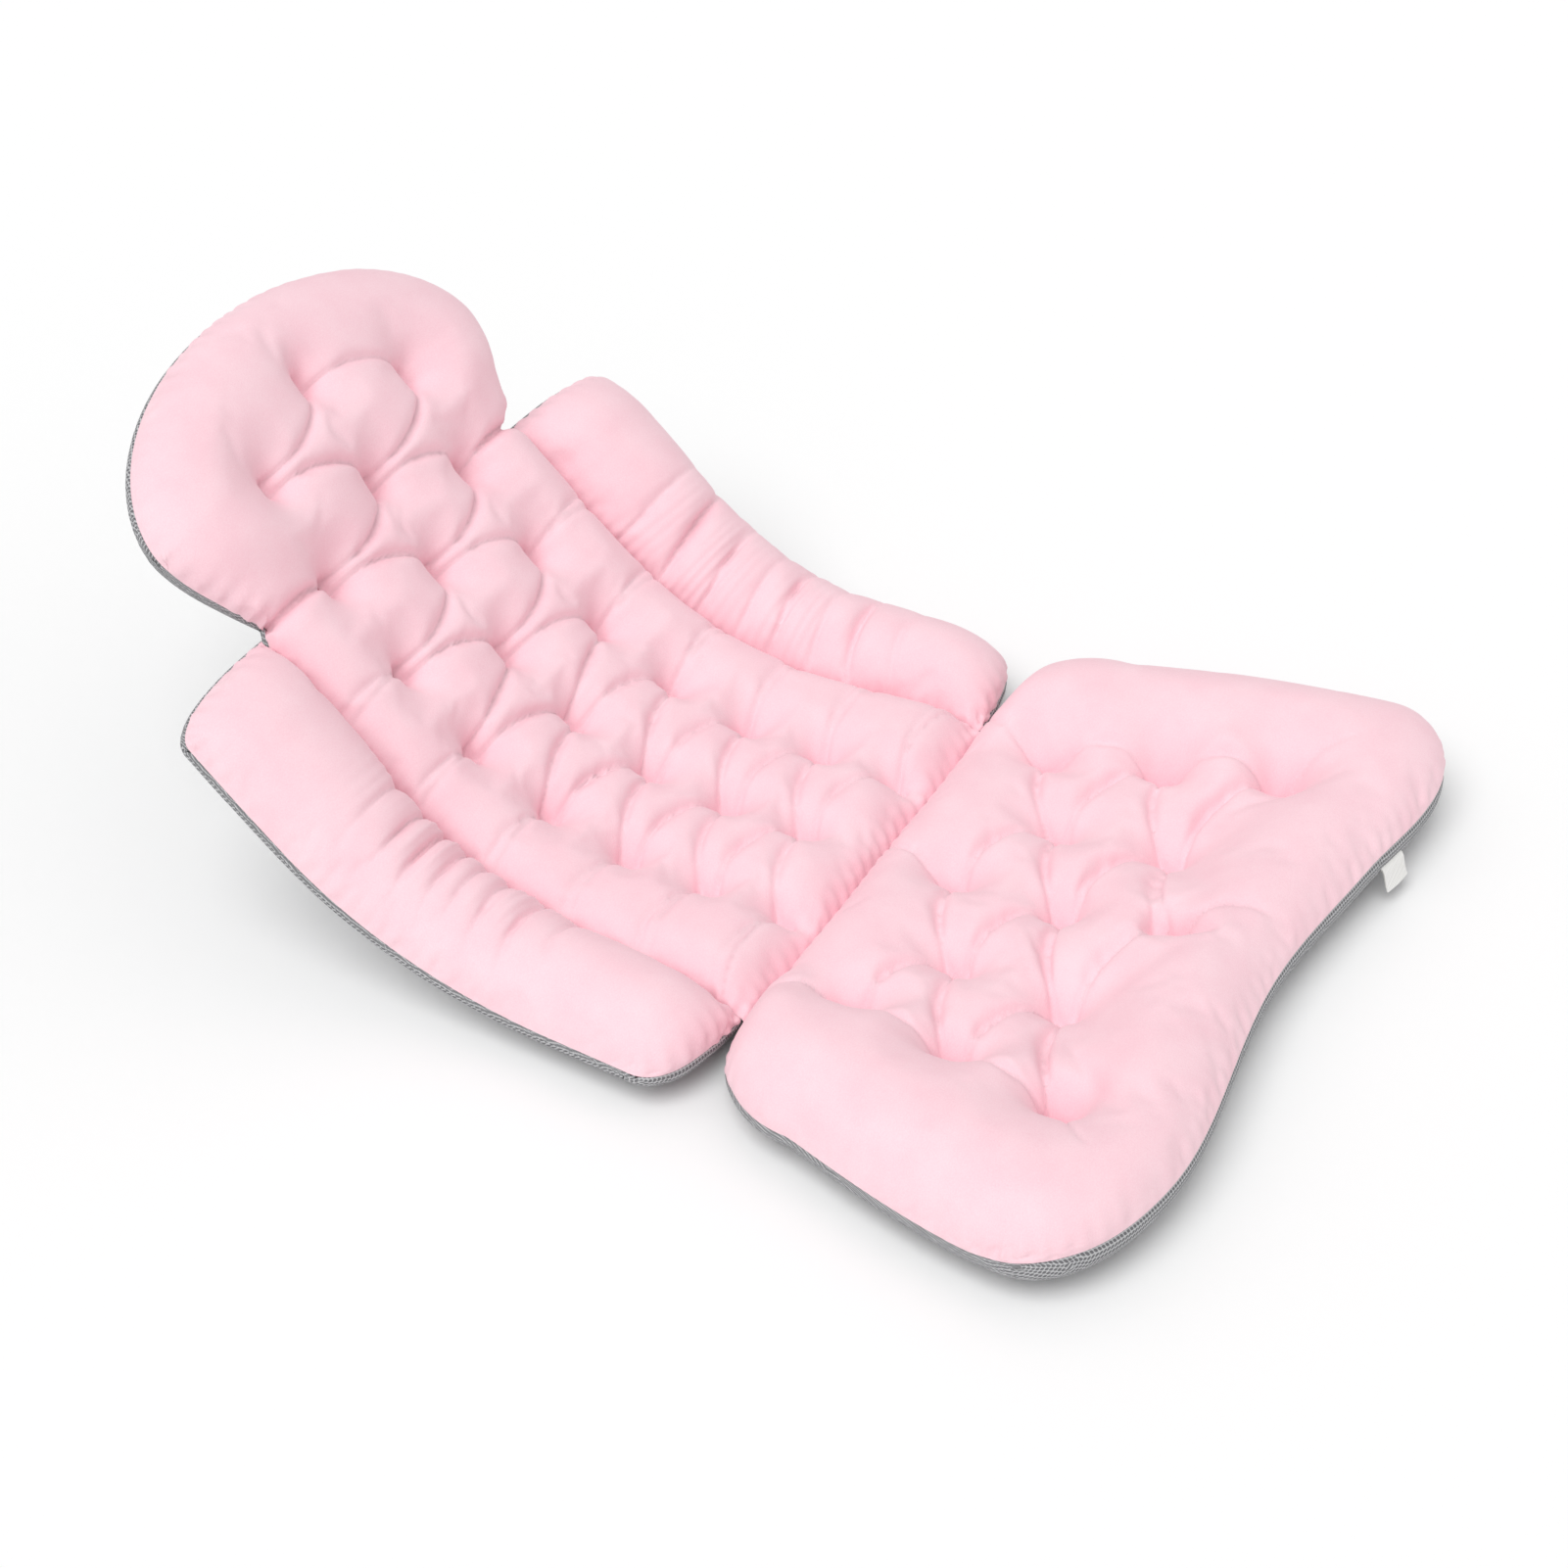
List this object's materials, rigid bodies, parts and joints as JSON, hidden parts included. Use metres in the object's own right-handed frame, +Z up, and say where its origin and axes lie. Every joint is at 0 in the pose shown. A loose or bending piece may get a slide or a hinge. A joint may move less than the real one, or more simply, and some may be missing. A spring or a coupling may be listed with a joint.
{
  "type": "bath pillow",
  "caption": "Full-length padded bath pillow: tufted back between two bolsters, folding head pillow, flared seat, grey spacer-mesh underside and suction cups to hold it in a bath",
  "frame": {"origin": "middle of the underside of the overall box, on the plane of the suction cup rims of the seat", "axes": "+X to the bather's left, +Y from the seat to the head, +Z up"},
  "size_m": [0.551, 0.7542, 0.3073],
  "materials": {
    "cover_fabric": "matte brushed microfibre, pale pink",
    "spacer_mesh": "open three-dimensional air mesh, mid grey",
    "fibre_filling": "loose polyester fibre, off-white",
    "suction_cup": "soft clear vinyl, glossy",
    "webbing": "flat woven webbing, grey",
    "tab_fabric": "smooth woven ribbon, white and blank"
  },
  "bodies": {
    "lower_back": {"lower_back_mesh_base": "spacer_mesh", "lower_back_filling": "fibre_filling", "lower_back_cover": "cover_fabric", "right_bolster_lower_mesh_base": "spacer_mesh", "right_bolster_lower_filling": "fibre_filling", "right_bolster_lower_cover": "cover_fabric", "left_bolster_lower_mesh_base": "spacer_mesh", "left_bolster_lower_filling": "fibre_filling", "left_bolster_lower_cover": "cover_fabric", "lower_back_cup_right": "suction_cup", "lower_back_cup_patch_right": "webbing", "lower_back_cup_left": "suction_cup", "lower_back_cup_patch_left": "webbing"},
    "upper_back": {"upper_back_mesh_base": "spacer_mesh", "upper_back_filling": "fibre_filling", "upper_back_cover": "cover_fabric", "right_bolster_upper_mesh_base": "spacer_mesh", "right_bolster_upper_filling": "fibre_filling", "right_bolster_upper_cover": "cover_fabric", "left_bolster_upper_mesh_base": "spacer_mesh", "left_bolster_upper_filling": "fibre_filling", "left_bolster_upper_cover": "cover_fabric", "upper_back_cup_right": "suction_cup", "upper_back_cup_patch_right": "webbing", "upper_back_cup_left": "suction_cup", "upper_back_cup_patch_left": "webbing"},
    "head": {"head_mesh_base": "spacer_mesh", "head_filling": "fibre_filling", "head_cover": "cover_fabric", "head_cup_right": "suction_cup", "head_cup_patch_right": "webbing", "head_cup_left": "suction_cup", "head_cup_patch_left": "webbing"},
    "seat": {"seat_mesh_base": "spacer_mesh", "seat_filling": "fibre_filling", "seat_cover": "cover_fabric", "seat_cup_right_front": "suction_cup", "seat_cup_patch_right_front": "webbing", "seat_cup_left_front": "suction_cup", "seat_cup_patch_left_front": "webbing", "seat_cup_right_rear": "suction_cup", "seat_cup_patch_right_rear": "webbing", "seat_cup_left_rear": "suction_cup", "seat_cup_patch_left_rear": "webbing", "seat_side_tab": "tab_fabric"}
  },
  "joints": [
    {"name": "seat_fold", "type": "hinge", "parent": "lower_back", "child": "seat", "pos_m": [0, -0.08642, 0.0176], "axis": [-1, 0, 0], "range_deg": [-100, 28]},
    {"name": "back_flex", "type": "hinge", "parent": "lower_back", "child": "upper_back", "pos_m": [0, 0.09095, 0.02688], "axis": [1, 0, 0], "range_deg": [-45, 8]},
    {"name": "neck_fold", "type": "hinge", "parent": "upper_back", "child": "head", "pos_m": [0, 0.26105, 0.16804], "axis": [1, 0, 0], "range_deg": [-90, 40]}
  ]
}
